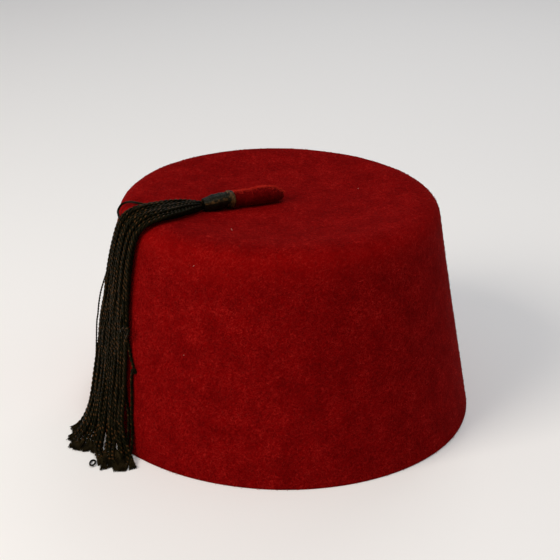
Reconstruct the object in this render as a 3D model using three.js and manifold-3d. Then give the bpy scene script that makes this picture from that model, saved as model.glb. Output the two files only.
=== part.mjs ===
// A fez: a stiff cap of blocked wool felt, open below. A rolled felt stem lies on its sunken top,
// a thread binding holds a tassel on the stem's end, and the tassel's cords fall over the edge
// and down the side to the surface that the cap stands on.
//
// Millimetres, +Z up. The stem points along -X. Angles round the cap are degrees from the stem's
// direction (-X) towards -Y. The cap is built round its own axis and moved at the end, so that
// the origin lies under the middle of the whole object.
import * as THREE from "three";
import Module from "manifold-3d";

// The cap.
const RIM_DIAMETER = 190; // outside, at the opening, on average: a 58 cm head
const RIM_OVAL = 1.9; // how far the rim's long radius is over that, and its short one under it
const OVAL_TURN = -44; // degrees from the stem's direction to the rim's long radius
const TOP_DIAMETER = 152; // where the side would meet the top, were the edge sharp
const CROWN_HEIGHT = 107.8; // rim to crest
const FELT = 2.5; // wall
const EDGE_ACROSS = 10.3; // the soft top edge, measured inwards
const EDGE_DOWN = 8.9; // and downwards
const SIDE_BOW = 0.25; // how far the side pulls in at half height
const TOP_SAG = 4; // how far the middle of the top lies below the crest
const DENT_DEPTH = 0.9; // the deepest soft dent of the side

// The stem.
const STEM_DIAMETER = 8;
const STEM_LENGTH = 33.5; // with the end inside the binding
const STEM_START = 2; // its root end, beyond the cap's axis
const STEM_ASIDE = 0.4; // how far it lies to the near side of the axis
const STEM_END_DIAMETER = 5.4; // squeezed by the binding
const STEM_IN_BINDING = 7;

// The binding.
const BINDING_LENGTH = 15.5;
const WINDING = 0.9; // thickness of the wound thread over the stem
const WINDING_AT_MOUTH = 0.45; // and where the cords leave it
const LIP_LENGTH = 4; // the rolled lip on the stem's side
const LIP_RISE = 0.5; // how far the lip stands out of the winding
const SHOULDER = 0.2; // how far the lip's own edge rounds in, share of the radius

// The tassel.
const NECK_DIAMETER = 4.6; // the cords where they leave the binding
const TASSEL_THICKNESS = 4.4; // the cords on the top, lowest to highest
const LOCK_WIDTH = 3.8; // one lock, two cords wide
const LOCK_THICKNESS = 2.5;
const NECK_LOCK = 0.46; // a lock's size where the binding squeezes it, share of the full one
const NECK_CORNER = 0.6; // how round the bunch of locks is there: 0 square, 1 round
const ROOT_IN_BINDING = 2.5; // how far the locks run into the binding
const NECK_LENGTH = 0.8; // and how far beyond it they stay squeezed
const TIP_ROUNDING = 0.9; // a lock's end beyond its way
const TIP_SIZE = 0.6; // and that end's size, share of the lock's
const TIPS_BEYOND_RIM = 14.5; // how far the tips lie from the rim on the floor

const GAP = 0.3; // between neighbouring pieces

// Soft dents of the side. around: degrees; up: share of the height; wide: degrees;
// tall: share of the height; deep: share of DENT_DEPTH, less than zero for a swelling.
const DENTS = [
  { around: 48, up: 0.34, wide: 8, tall: 0.17, deep: 1 },
  { around: 42, up: 0.8, wide: 9, tall: 0.1, deep: 0.6 },
  { around: 88, up: 0.45, wide: 26, tall: 0.4, deep: 0.55 },
  { around: 122, up: 0.25, wide: 20, tall: 0.3, deep: -0.5 },
  { around: 196, up: 0.5, wide: 30, tall: 0.4, deep: 0.6 },
  { around: 287, up: 0.4, wide: 24, tall: 0.35, deep: 0.7 },
];

// The stem from its root to the binding. along: share of the length outside the binding; wide and
// high: shares of its diameter.
const STEM_SECTIONS = [
  { along: 0, wide: 0.4, high: 0.3 },
  { along: 0.03, wide: 0.62, high: 0.52 },
  { along: 0.1, wide: 0.88, high: 0.78 },
  { along: 0.2, wide: 1, high: 0.96 },
  { along: 0.34, wide: 1.05, high: 1.07 },
  { along: 0.5, wide: 1.03, high: 1.09 },
  { along: 0.68, wide: 1, high: 1.03 },
  { along: 0.84, wide: 0.98, high: 0.98 },
  { along: 0.96, wide: 0.95, high: 0.93 },
];

// The way of the tassel's middle from the binding to the tips. on and share: the place, as a share
// of the top's radius, of the edge's turn, of the side's height or of the way from the rim to the
// tips; lift: how high the lowest cords run above the cap or the floor, share of LOCK_THICKNESS;
// deep: lowest to highest cord, share of TASSEL_THICKNESS; turn: degrees; spread: half the fan,
// degrees; lock: size of a lock's section, share of the full one.
const TASSEL_WAY = [
  { on: "top", share: 0.7, lift: 0.35, deep: 1.2, turn: 2.6, spread: 3.8, lock: 0.74 },
  { on: "top", share: 0.81, lift: 0.35, deep: 1.2, turn: 4.4, spread: 6, lock: 0.86 },
  { on: "top", share: 0.94, lift: 0.3, deep: 1.12, turn: 5.4, spread: 7.6, lock: 0.94 },
  { on: "edge", share: 0.75, lift: 0.3, deep: 1.05, turn: 4.6, spread: 8, lock: 0.97 },
  { on: "edge", share: 0.32, lift: 0.3, deep: 1, turn: 3, spread: 8, lock: 0.98 },
  { on: "side", share: 0.93, lift: 0.35, deep: 0.9, turn: 1.6, spread: 7.8, lock: 1 },
  { on: "side", share: 0.8, lift: 0.4, deep: 0.85, turn: 0.7, spread: 8.8, lock: 1 },
  { on: "side", share: 0.62, lift: 0.35, deep: 0.8, turn: 0.8, spread: 10, lock: 1 },
  { on: "side", share: 0.45, lift: 0.3, deep: 0.76, turn: 1.3, spread: 11.3, lock: 1 },
  { on: "side", share: 0.28, lift: 0.5, deep: 0.7, turn: 3.4, spread: 11, lock: 1 },
  { on: "side", share: 0.13, lift: 1.3, deep: 0.64, turn: 6, spread: 10.6, lock: 1 },
  { on: "floor", share: 0.47, lift: 1.1, deep: 0.6, turn: 8.6, spread: 11.2, lock: 1 },
  { on: "floor", share: 0.77, lift: 0.1, deep: 0.58, turn: 10.4, spread: 11.8, lock: 1.06 },
  { on: "floor", share: 1, lift: 0, deep: 0.58, turn: 12.2, spread: 12.2, lock: 1.16 },
];

// One row for each lock. lane: its place across the fan; layer: 0 lowest to 1 highest; reach: how
// far its tip lies beyond the others, share of LOCK_WIDTH; stray: how far the tip turns aside,
// share of the last spread.
const LOCKS = [
  { lane: -1, layer: 0.1, reach: -0.3, stray: 0 },
  { lane: -0.78, layer: 0.9, reach: 0.6, stray: 0.06 },
  { lane: -0.56, layer: 0.15, reach: 1.1, stray: 0.16 },
  { lane: -0.34, layer: 0.85, reach: 0.4, stray: 0.12 },
  { lane: -0.12, layer: 0.2, reach: -0.4, stray: 0.02 },
  { lane: 0.12, layer: 1, reach: 1, stray: 0.2 },
  { lane: 0.34, layer: 0, reach: -0.5, stray: 0.12 },
  { lane: 0.56, layer: 0.85, reach: 0.1, stray: 0.22 },
  { lane: 0.8, layer: 0.2, reach: -1.1, stray: 0.14 },
  { lane: 1, layer: 0.6, reach: -1.6, stray: 0 },
];

// How finely the round forms are divided.
const CROWN_SIDES = 52;
const SIDE_ROWS = 7;
const EDGE_ROWS = 5;
const TOP_ROWS = 6;
const BAND_SIDES = 16;
const BINDING_ROWS = 9;
const LOCK_SIDES = 7;
const LOCK_STEPS = 26;

// Colour, roughness and metalness of what each piece is made of.
const RED_FELT = { color: 0x78090b, roughness: 0.95, metalness: 0 };
const BLACK_SATIN = { color: 0x1b1a14, roughness: 0.45, metalness: 0 };
const BLACK_CORD = { color: 0x14110b, roughness: 0.6, metalness: 0 };

const DEGREE = Math.PI / 180;
const ACROSS = new THREE.Vector3(0, -1, 0);
const UP = new THREE.Vector3(0, 0, 1);
const RIM_RADIUS = RIM_DIAMETER / 2;
const SLOPE = (RIM_DIAMETER - TOP_DIAMETER) / 2 / CROWN_HEIGHT;
const EDGE_LEVEL = CROWN_HEIGHT - EDGE_DOWN;
const EDGE_LEAN = Math.hypot(EDGE_ACROSS, SLOPE * EDGE_DOWN);
const CREST_RADIUS = RIM_RADIUS - SLOPE * EDGE_LEVEL - EDGE_LEAN;
const EDGE_START = Math.atan2(SLOPE * EDGE_DOWN, EDGE_ACROSS);
const SIDE_HEIGHT = EDGE_LEVEL + EDGE_DOWN * Math.sin(EDGE_START);

// The cap's half section outside, as [distance from the axis, height]. The shares run from the
// rim to the edge, from the side to the crest, and from the middle of the top to the crest.
const section = {
  side(share) {
    const bow = SIDE_BOW * 4 * share * (1 - share);
    return [RIM_RADIUS - SLOPE * share * SIDE_HEIGHT - bow, share * SIDE_HEIGHT];
  },
  edge(share) {
    const angle = EDGE_START + share * (Math.PI / 2 - EDGE_START);
    return [
      CREST_RADIUS + EDGE_ACROSS * Math.cos(angle),
      EDGE_LEVEL + EDGE_DOWN * Math.sin(angle),
    ];
  },
  top(share) {
    return [share * CREST_RADIUS, CROWN_HEIGHT - TOP_SAG * (1 - share ** 4) ** 2];
  },
};

// The direction out of the felt at a place of the half section.
function outward(on, share) {
  const step = 1e-3;
  const from = section[on](Math.max(share - step, 0));
  const to = section[on](Math.min(share + step, 1));
  const sense = on === "top" ? -1 : 1;
  const length = sense * Math.hypot(to[0] - from[0], to[1] - from[1]);
  return [(to[1] - from[1]) / length, (from[0] - to[0]) / length];
}

// How much further out than round the cap is, at a height and an angle: the rim is oval, the top
// round.
function ovalAt(height, degrees) {
  const part = Math.max(1 - height / CROWN_HEIGHT, 0);
  return RIM_OVAL * part * Math.cos(2 * DEGREE * (degrees - OVAL_TURN));
}

// A direction from its part away from the axis, its part upwards and its angle round the cap.
function turned(away, up, degrees) {
  const angle = degrees * DEGREE;
  return new THREE.Vector3(-away * Math.cos(angle), -away * Math.sin(angle), up);
}

// A point from its distance to the axis on a round cap, its height and its angle.
function around(radius, height, degrees) {
  return turned(radius + ovalAt(height, degrees), height, degrees);
}

// How far the side is pushed in at a height share and an angle.
function dentAt(up, degrees) {
  let depth = 0;
  for (const dent of DENTS) {
    const beside = ((degrees - dent.around + 540) % 360) - 180;
    const far = (beside / dent.wide) ** 2 + ((up - dent.up) / dent.tall) ** 2;
    depth += dent.deep * DENT_DEPTH * Math.exp(-far);
  }
  return depth;
}

// A closed mesh from rings of points, each joined to the next. The two ends are closed by a point
// in their middle, or, where none are given, the last ring joins the first.
function skin(rings, ends = null) {
  const count = rings[0].length;
  const points = rings.flat();
  const faces = [];
  const links = ends ? rings.length - 1 : rings.length;
  for (let r = 0; r < links; r++) {
    const low = r * count;
    const high = ((r + 1) % rings.length) * count;
    for (let i = 0; i < count; i++) {
      const next = (i + 1) % count;
      faces.push(low + i, low + next, high + next, low + i, high + next, high + i);
    }
  }
  if (ends) {
    const start = points.length;
    const end = (rings.length - 1) * count;
    points.push(...ends);
    for (let i = 0; i < count; i++) {
      const next = (i + 1) % count;
      faces.push(start, next, i, start + 1, end + i, end + next);
    }
  }
  const geometry = new THREE.BufferGeometry().setFromPoints(points);
  geometry.setIndex(faces);
  return geometry;
}

// A ring of points round a centre, from two half sizes along two directions. Seen with the
// first direction to the right and the second up, it runs anticlockwise.
function ring(centre, right, halfWide, up, halfHigh, sides) {
  const points = [];
  for (let i = 0; i < sides; i++) {
    const angle = (2 * Math.PI * i) / sides;
    const point = centre.clone();
    point.addScaledVector(right, halfWide * Math.cos(angle));
    point.addScaledVector(up, halfHigh * Math.sin(angle));
    points.push(point);
  }
  return points;
}

function named(name, geometry, finish) {
  geometry.computeVertexNormals();
  const mesh = new THREE.Mesh(geometry, new THREE.MeshStandardMaterial(finish));
  mesh.name = name;
  return mesh;
}

// The cap: the half section outside and, a wall deeper, inside, turned round the axis, with the
// side's dents in both.
function crown() {
  const places = [];
  for (let i = 0; i < SIDE_ROWS; i++) places.push(["side", i / SIDE_ROWS]);
  for (let i = 0; i < EDGE_ROWS; i++) places.push(["edge", i / EDGE_ROWS]);
  for (let i = 0; i < TOP_ROWS; i++) places.push(["top", 1 - i / TOP_ROWS]);
  const shell = (depth) =>
    places.map(([on, share]) => {
      const [radius, height] = section[on](share);
      const [out, up] = outward(on, share);
      const atRim = height === 0;
      const inwards = atRim ? depth / out : depth * out;
      const level = atRim ? 0 : height - depth * up;
      const points = [];
      for (let i = 0; i < CROWN_SIDES; i++) {
        const degrees = (360 * i) / CROWN_SIDES;
        const pushed = dentAt(height / CROWN_HEIGHT, degrees);
        points.push(around(radius - inwards - pushed, level, degrees));
      }
      return points;
    });
  const middle = section.top(0)[1];
  const rings = [...shell(FELT).reverse(), ...shell(0)];
  const ends = [new THREE.Vector3(0, 0, middle - FELT), new THREE.Vector3(0, 0, middle)];
  return named("crown", skin(rings, ends), RED_FELT);
}

// Where the stem enters the binding and where the binding ends, from the stem's root.
const BINDING_START = STEM_LENGTH - STEM_IN_BINDING;
const BINDING_END = BINDING_START + BINDING_LENGTH;
const WINDING_RADIUS = STEM_END_DIAMETER / 2 + GAP + WINDING;
const MOUTH_RADIUS = NECK_DIAMETER / 2 + GAP + WINDING_AT_MOUTH;

const mix = (a, b, part) => a + (b - a) * part;
const smooth = (part) => part * part * (3 - 2 * part);
const within = (value) => Math.min(Math.max(value, 0), 1);

// A column of a table whose rows are in order of their first column, between its rows.
function column(rows, by, at, name) {
  const above = rows.findIndex((row) => row[by] >= at);
  if (above === 0) return rows[0][name];
  if (above < 0) return rows[rows.length - 1][name];
  const [low, high] = [rows[above - 1], rows[above]];
  return mix(low[name], high[name], (at - low[by]) / (high[by] - low[by]));
}

// The line through stem, binding and tassel head. It runs level with the top under it, as high as
// the thickest part there needs.
function spine(along) {
  const share = along / BINDING_START;
  const stemHalf = (column(STEM_SECTIONS, "along", share, "high") * STEM_DIAMETER) / 2;
  const lipHalf = WINDING_RADIUS + LIP_RISE;
  const towardsLip = smooth(within(2 * share - 1));
  const beyondLip = along - BINDING_START - LIP_LENGTH;
  const towardsMouth = smooth(within(beyondLip / (BINDING_LENGTH - LIP_LENGTH)));
  const half = mix(mix(stemHalf, lipHalf, towardsLip), MOUTH_RADIUS, towardsMouth);
  const x = STEM_START - along;
  const place = within(Math.hypot(x, STEM_ASIDE) / CREST_RADIUS);
  return new THREE.Vector3(x, -STEM_ASIDE, section.top(place)[1] + GAP + half);
}

function stem() {
  const rings = STEM_SECTIONS.map((row) =>
    ring(
      spine(row.along * BINDING_START),
      ACROSS,
      (row.wide * STEM_DIAMETER) / 2,
      UP,
      (row.high * STEM_DIAMETER) / 2,
      BAND_SIDES,
    ),
  );
  for (const along of [BINDING_START - GAP, STEM_LENGTH]) {
    const half = STEM_END_DIAMETER / 2;
    rings.push(ring(spine(along), ACROSS, half, UP, half, BAND_SIDES));
  }
  return named("stem", skin(rings, [spine(0), spine(STEM_LENGTH)]), RED_FELT);
}

// Radius of the binding's bore: it fits the stem's end, and narrows to the tassel's neck.
function bore(along) {
  const part = within((along - STEM_LENGTH) / (BINDING_END - STEM_LENGTH));
  return mix(STEM_END_DIAMETER / 2, NECK_DIAMETER / 2, part) + GAP;
}

// The binding: a wound sleeve with a rolled lip on the stem's side.
function binding() {
  const outer = [];
  const inner = [];
  for (let i = 0; i <= BINDING_ROWS; i++) {
    const share = i / BINDING_ROWS;
    const along = BINDING_START + share * BINDING_LENGTH;
    const lip = Math.sin(Math.PI * within((share * BINDING_LENGTH) / LIP_LENGTH));
    const shoulder = i === 0 ? 1 - SHOULDER : 1;
    const half = mix(WINDING_RADIUS, MOUTH_RADIUS, smooth(share)) * shoulder + LIP_RISE * lip;
    outer.push(ring(spine(along), ACROSS, half, UP, half, BAND_SIDES));
    inner.unshift(ring(spine(along), ACROSS, bore(along), UP, bore(along), BAND_SIDES));
  }
  return named("binding", skin([...outer, ...inner]), BLACK_SATIN);
}

const wasm = await Module();
wasm.setup();

function solid(geometry) {
  const vertProperties = geometry.getAttribute("position").array;
  const triVerts = new Uint32Array(geometry.getIndex().array);
  return new wasm.Manifold(new wasm.Mesh({ numProp: 3, vertProperties, triVerts }));
}

function geometryOf(shape) {
  const mesh = shape.getMesh();
  const geometry = new THREE.BufferGeometry();
  geometry.setAttribute("position", new THREE.BufferAttribute(mesh.vertProperties, 3));
  geometry.setIndex(new THREE.BufferAttribute(mesh.triVerts, 1));
  return geometry;
}

// The head: the bound ends of all cords, inside the binding's bore.
function head() {
  const rings = [];
  for (const share of [0, 0.5, 1]) {
    const along = mix(STEM_LENGTH + GAP, BINDING_END, share);
    rings.push(ring(spine(along), ACROSS, bore(along) - GAP, UP, bore(along) - GAP, BAND_SIDES));
  }
  return skin(rings, [spine(STEM_LENGTH + GAP), spine(BINDING_END)]);
}

// Where a lock's middle runs beside a place of the tassel's way, and the direction out of what it
// lies on there.
function laid(row, lock, atTip) {
  const half = (row.lock * LOCK_THICKNESS) / 2;
  const stack = Math.max(row.deep * TASSEL_THICKNESS - 2 * half, 0) * lock.layer;
  const above = GAP + row.lift * LOCK_THICKNESS + half + stack;
  const degrees = row.turn + (lock.lane + (atTip ? lock.stray : 0)) * row.spread;
  if (row.on === "floor") {
    const beyond = row.share * (TIPS_BEYOND_RIM + lock.reach * LOCK_WIDTH);
    return { point: around(RIM_RADIUS + beyond, above, degrees), out: UP.clone(), size: row.lock };
  }
  const [radius, height] = section[row.on](row.share);
  const [out, up] = outward(row.on, row.share);
  return {
    point: around(radius + above * out, height + above * up, degrees),
    out: turned(out, up, degrees),
    size: row.lock,
  };
}

// Where a lock's middle runs in the neck, a distance before or beyond the binding's end.
function bound(beyond, lock) {
  const size = NECK_LOCK;
  const side = NECK_DIAMETER / 2 - (size * LOCK_WIDTH) / 2;
  const tall = NECK_DIAMETER / 2 - (size * LOCK_THICKNESS) / 2;
  const level = (2 * lock.layer - 1) * Math.sqrt(1 - NECK_CORNER * lock.lane ** 2);
  const point = spine(BINDING_END + beyond);
  point.addScaledVector(ACROSS, lock.lane * side).addScaledVector(UP, level * tall);
  return { point, out: UP.clone(), size };
}

// One lock of cords: an oval section carried along its way, and closed by a blunt tip.
function lockOf(lock) {
  const last = TASSEL_WAY.length - 1;
  const stops = [bound(-ROOT_IN_BINDING, lock), bound(NECK_LENGTH, lock)];
  TASSEL_WAY.forEach((row, i) => stops.push(laid(row, lock, i === last)));
  const way = new THREE.CatmullRomCurve3(stops.map((stop) => stop.point));
  const outs = new THREE.CatmullRomCurve3(stops.map((stop) => stop.out));
  const oval = (share, onwards, scale) => {
    const place = share * (stops.length - 1);
    const from = Math.min(Math.floor(place), stops.length - 2);
    const size = scale * mix(stops[from].size, stops[from + 1].size, place - from);
    const ahead = way.getTangent(share);
    const up = outs.getPoint(share);
    up.addScaledVector(ahead, -up.dot(ahead)).normalize();
    const right = up.clone().cross(ahead);
    const centre = way.getPoint(share).addScaledVector(ahead, onwards);
    const [halfWide, halfHigh] = [(size * LOCK_WIDTH) / 2, (size * LOCK_THICKNESS) / 2];
    return { centre, points: ring(centre, right, halfWide, up, halfHigh, LOCK_SIDES) };
  };
  const ovals = [];
  for (let i = 0; i <= LOCK_STEPS; i++) ovals.push(oval(i / LOCK_STEPS, 0, 1));
  ovals.push(oval(1, TIP_ROUNDING, TIP_SIZE));
  const ends = [ovals[0].centre, ovals[ovals.length - 1].centre];
  return skin(ovals.map((one) => one.points), ends);
}

// The tassel: its locks, fused in the head. Hollows that they shut in between them are filled,
// so only the outer skin is kept.
function tassel() {
  const joined = LOCKS.reduce((all, lock) => all.add(solid(lockOf(lock))), solid(head()));
  const skins = joined.decompose();
  const outermost = skins.reduce((best, one) => (one.volume() > best.volume() ? one : best));
  return named("tassel", geometryOf(outermost), BLACK_CORD);
}

// The whole fez, its origin under the middle of its bounding box.
const fez = new THREE.Group();
fez.add(crown(), stem(), binding(), tassel());
const bounds = new THREE.Box3().setFromObject(fez);
const middle = bounds.getCenter(new THREE.Vector3());
for (const piece of fez.children) piece.position.set(-middle.x, -middle.y, -bounds.min.z);

export default fez;
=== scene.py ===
# %% [markdown]
# # A felt fez with a corded tassel
# A fez is one piece of wool felt, blocked hot over a form and shrunk until it stands by itself. A short
# rolled stem of the same felt lies on its top. Thread is wound round the stem's end and round the heads
# of 28 twisted cords, which fall over the edge and down the side to the table.
#
# The construction is already made as plain solids. Here each solid is hidden and a finer surface takes its
# place. All sizes are in millimetres from the cap's own axis, and one function turns them into metres in
# the shared frame.

# %% Load the frame
import itertools
import math

import bpy
import numpy as np
from mathutils import Matrix, Vector


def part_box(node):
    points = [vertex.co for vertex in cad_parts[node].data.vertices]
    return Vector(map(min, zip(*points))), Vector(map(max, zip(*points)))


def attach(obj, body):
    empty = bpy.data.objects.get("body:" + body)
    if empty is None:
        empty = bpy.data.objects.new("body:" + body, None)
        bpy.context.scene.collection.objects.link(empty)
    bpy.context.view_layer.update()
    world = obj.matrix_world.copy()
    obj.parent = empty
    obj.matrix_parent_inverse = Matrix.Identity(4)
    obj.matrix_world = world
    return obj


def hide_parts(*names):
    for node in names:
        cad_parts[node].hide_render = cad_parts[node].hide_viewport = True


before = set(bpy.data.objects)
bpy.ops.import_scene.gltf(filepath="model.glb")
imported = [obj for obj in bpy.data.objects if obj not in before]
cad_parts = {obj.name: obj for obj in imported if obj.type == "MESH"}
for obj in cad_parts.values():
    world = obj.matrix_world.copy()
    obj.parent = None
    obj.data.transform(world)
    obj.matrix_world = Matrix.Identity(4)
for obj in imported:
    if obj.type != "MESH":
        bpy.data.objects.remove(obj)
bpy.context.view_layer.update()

MM = 0.001
TURN = 2 * math.pi
UP = np.array([0, 0, 1.0])
crown_low, crown_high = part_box("crown")
AXIS = np.array([(crown_low.x + crown_high.x) / 2, (crown_low.y + crown_high.y) / 2, 0.0])
RIM_RADIUS = (crown_high.x - crown_low.x) / 2 / MM
HEIGHT = crown_high.z / MM
print(f"cap axis {AXIS[0] / MM:.1f} mm along X, rim radius {RIM_RADIUS:.1f}, height {HEIGHT:.1f}")

# %% [markdown]
# ## The camera
# The picture is taken from a little above, 25 degrees to the stem's side, with a long lens. Setting the
# camera first means that every later choice can be judged in its view. A camera can be placed by hand or
# by constraints. Here its turn, height and distance are named values found by fitting the cap's outline,
# with a small tilt, so that the frame holds the same margins.

# %% Camera
CAMERA_TURN = -25.0
CAMERA_HEIGHT = 25.07
CAMERA_DISTANCE = 624.9
CAMERA_TARGET = 50.0
CAMERA_LENS = 80.1
CAMERA_PITCH = 0.99
CAMERA_YAW = -0.05
CAMERA_ROLL = 0.49


def turn_about(axis, degrees):
    """A rotation about one axis, in degrees."""
    return Matrix.Rotation(math.radians(degrees), 4, axis)


camera_data = bpy.data.cameras.new("camera")
camera_data.lens = CAMERA_LENS
camera_data.sensor_width = 36.0
camera_data.clip_start = 0.01
camera = bpy.data.objects.new("camera", camera_data)
bpy.context.scene.collection.objects.link(camera)
swing = turn_about("Z", CAMERA_TURN) @ turn_about("X", 90 - CAMERA_HEIGHT)
target = Matrix.Translation(Vector(AXIS) + Vector((0, 0, CAMERA_TARGET * MM)))
aim = turn_about("X", CAMERA_PITCH) @ turn_about("Y", CAMERA_YAW) @ turn_about("Z", CAMERA_ROLL)
camera.matrix_world = target @ swing @ Matrix.Translation((0, 0, CAMERA_DISTANCE * MM)) @ aim
bpy.context.scene.camera = camera

# %% [markdown]
# ## The cap's form
# A blocked cap is a surface of revolution that handling has bent: its rim is slightly oval, and its side
# has soft dents. A lathe tool would give the round form only. A function of two parameters gives all of
# it: the place along the half section and the angle round the axis.

# %% Half section of the cap
TOP_RADIUS = 76.0
FELT = 2.5
GAP = 0.3
EDGE_ACROSS = 10.3
EDGE_DOWN = 8.9
SIDE_BOW = 0.25
TOP_SAG = 4.0
RIM_OVAL = 1.9
OVAL_TURN = -44.0
DENT_DEPTH = 0.9

slope = (RIM_RADIUS - TOP_RADIUS) / HEIGHT
edge_level = HEIGHT - EDGE_DOWN
crest_radius = RIM_RADIUS - slope * edge_level - math.hypot(EDGE_ACROSS, slope * EDGE_DOWN)
edge_start = math.atan2(slope * EDGE_DOWN, EDGE_ACROSS)
side_height = edge_level + EDGE_DOWN * math.sin(edge_start)


def section(place):
    """Distance from the axis and height on the half section.

    place runs 0 to 1 up the side, which is a straight line pulled in by a shallow parabola, 1 to 2
    round the edge, a quarter of an ellipse, and 2 to 3 over the top, which sags by a smooth bowl.
    """
    place = np.asarray(place, float)
    up = np.clip(place, 0, 1)
    bend = edge_start + np.clip(place - 1, 0, 1) * (np.pi / 2 - edge_start)
    out = np.clip(3 - place, 0, 1)
    side = RIM_RADIUS - slope * up * side_height - SIDE_BOW * 4 * up * (1 - up)
    edge_radius = crest_radius + EDGE_ACROSS * np.cos(bend)
    edge_height = edge_level + EDGE_DOWN * np.sin(bend)
    top_height = HEIGHT - TOP_SAG * (1 - out**4) ** 2
    radius = np.where(place < 1, side, np.where(place < 2, edge_radius, out * crest_radius))
    height = np.where(place < 1, up * side_height, np.where(place < 2, edge_height, top_height))
    return radius, height


def section_out(place):
    """The direction out of the felt, as a part away from the axis and a part upwards."""
    step = 0.002
    radius_a, height_a = section(np.maximum(np.asarray(place, float) - step, 0))
    radius_b, height_b = section(np.minimum(np.asarray(place, float) + step, 3))
    length = np.hypot(radius_b - radius_a, height_b - height_a)
    return (height_b - height_a) / length, (radius_a - radius_b) / length


# %% Oval and dents
# One row for each soft dent: its angle, its height share, its half width in degrees, its half height
# as a share, and its depth as a share of the deepest. A swelling is less than zero.
DENTS = [
    (53, 0.36, 8, 0.2, 1.1),
    (46, 0.84, 9, 0.1, 0.8),
    (43, 0.96, 6, 0.07, 0.6),
    (88, 0.45, 26, 0.4, 0.55),
    (122, 0.25, 20, 0.3, -0.5),
    (196, 0.5, 30, 0.4, 0.6),
    (287, 0.4, 24, 0.35, 0.7),
]


def pushed_in(height, degrees):
    """How much nearer to the axis the felt is than on a round cap: the dents, each a smooth bump in
    angle and height, less the oval, a double wave round the rim that fades towards the top."""
    depth = -RIM_OVAL * np.maximum(1 - height / HEIGHT, 0) * np.cos(2 * np.radians(degrees - OVAL_TURN))
    for around, up, wide, tall, deep in DENTS:
        beside = (degrees - around + 540) % 360 - 180
        far = (beside / wide) ** 2 + ((height / HEIGHT - up) / tall) ** 2
        depth = depth + deep * DENT_DEPTH * np.exp(-far)
    return depth


def turned(away, up, degrees):
    """A vector from its part away from the axis, its part upwards and its angle from the stem's way."""
    angle = np.radians(degrees)
    away, up, angle = np.broadcast_arrays(away, up, angle)
    return np.stack([-away * np.cos(angle), -away * np.sin(angle), up], -1)


def on_cap(place, degrees, above=0.0):
    """A point above the felt at a place of the half section and an angle. Towards the middle of the top
    the dents and the oval fade out."""
    radius, height = section(place)
    out, up = section_out(place)
    inwards = pushed_in(height, degrees) * np.clip(radius / crest_radius, 0, 1)
    return turned(radius - inwards + above * out, height + above * up, degrees)


# %% [markdown]
# ## From arrays to meshes
# Every piece is worked out as whole arrays, so one function can turn points and faces into an object. It
# moves the piece from the cap's axis into the shared frame, shades it smooth, gives it its material and
# lets it ride on the part's one body.

# %% Make a piece
def put(name, form, finish, stands_for=()):
    """A piece from its form: points in millimetres, a list of face arrays, each with one number of
    corners, and a UV for each of the first corners or None. Corners beyond them have a UV of zero."""
    points, faces, uv = form
    mesh = bpy.data.meshes.new(name)
    corners = np.concatenate([f.ravel() for f in faces]).astype(np.int32)
    sizes = np.concatenate([np.full(len(f), f.shape[1]) for f in faces])
    starts = np.concatenate([[0], np.cumsum(sizes)[:-1]]).astype(np.int32)
    mesh.vertices.add(len(points))
    mesh.vertices.foreach_set("co", (points * MM + AXIS).astype(np.float32).ravel())
    mesh.loops.add(len(corners))
    mesh.loops.foreach_set("vertex_index", corners)
    mesh.polygons.add(len(sizes))
    mesh.polygons.foreach_set("loop_start", starts)
    if uv is not None:
        every_uv = np.zeros((len(corners), 2), np.float32)
        every_uv[: len(uv)] = uv
        mesh.uv_layers.new(name="UVMap").data.foreach_set("uv", every_uv.ravel())
    mesh.update(calc_edges=True)
    mesh.shade_smooth()
    mesh.materials.append(finish)
    piece = bpy.data.objects.new(name, mesh)
    bpy.context.scene.collection.objects.link(piece)
    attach(piece, "root")
    if stands_for:
        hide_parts(*stands_for)
    print(f"{name}: {len(points)} points, {(sizes - 2).sum()} triangles")


def grid_faces(rows, columns):
    """Quads between neighbouring rows of a grid whose columns close on themselves."""
    row, column = np.meshgrid(np.arange(rows - 1), np.arange(columns), indexing="ij")
    beside = (column + 1) % columns
    low, high = row * columns, (row + 1) * columns
    return np.stack([low + column, low + beside, high + beside, high + column], -1).reshape(-1, 4)


def end_fans(count, columns):
    """Triangles that close both ends of a grid of count points. The point in the middle of the first row
    and the one in the middle of the last row come right after the grid's own."""
    column = np.arange(columns)
    beside = (column + 1) % columns
    last = count - columns
    first_fan = np.stack([np.full(columns, count), beside, column], -1)
    last_fan = np.stack([np.full(columns, count + 1), last + column, last + beside], -1)
    return np.concatenate([first_fan, last_fan])


def closed(rows):
    """The form of rows of points that close on themselves, with a fan over each end."""
    count, columns = rows.shape[:2]
    points = np.concatenate([rows.reshape(-1, 3), rows[[0, -1]].mean(1)])
    return points, [grid_faces(count, columns), end_fans(count * columns, columns)], None


# %% [markdown]
# ## Smooth randomness
# Felt is lumpy at several scales. Blender's noise lives in shaders and textures, so a mesh made with
# numpy needs its own: random values on a cubic lattice, blended smoothly between the corners.

# %% Random field
LATTICE = 64
# All points lie on the lattice's positive side, and it repeats after its last value.
LATTICE_SHIFT = 500.0


def eased(part):
    """0 to 1 with a soft start and end."""
    part = np.clip(part, 0, 1)
    return part * part * (3 - 2 * part)


def lumps(points, size, seed):
    """A field between -1 and 1: lattice values every size millimetres, eased between neighbours."""
    lattice = np.random.default_rng(seed).uniform(-1, 1, (LATTICE, LATTICE, LATTICE))
    at = points / size + LATTICE_SHIFT
    low = np.floor(at).astype(int)
    part = eased(at - low)
    total = 0.0
    for corner in itertools.product((0, 1), repeat=3):
        weight = np.prod(np.where(corner, part, 1 - part), -1)
        x, y, z = ((low + corner) % LATTICE).reshape(-1, 3).T
        total = total + weight * lattice[x, y, z].reshape(weight.shape)
    return total


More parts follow.
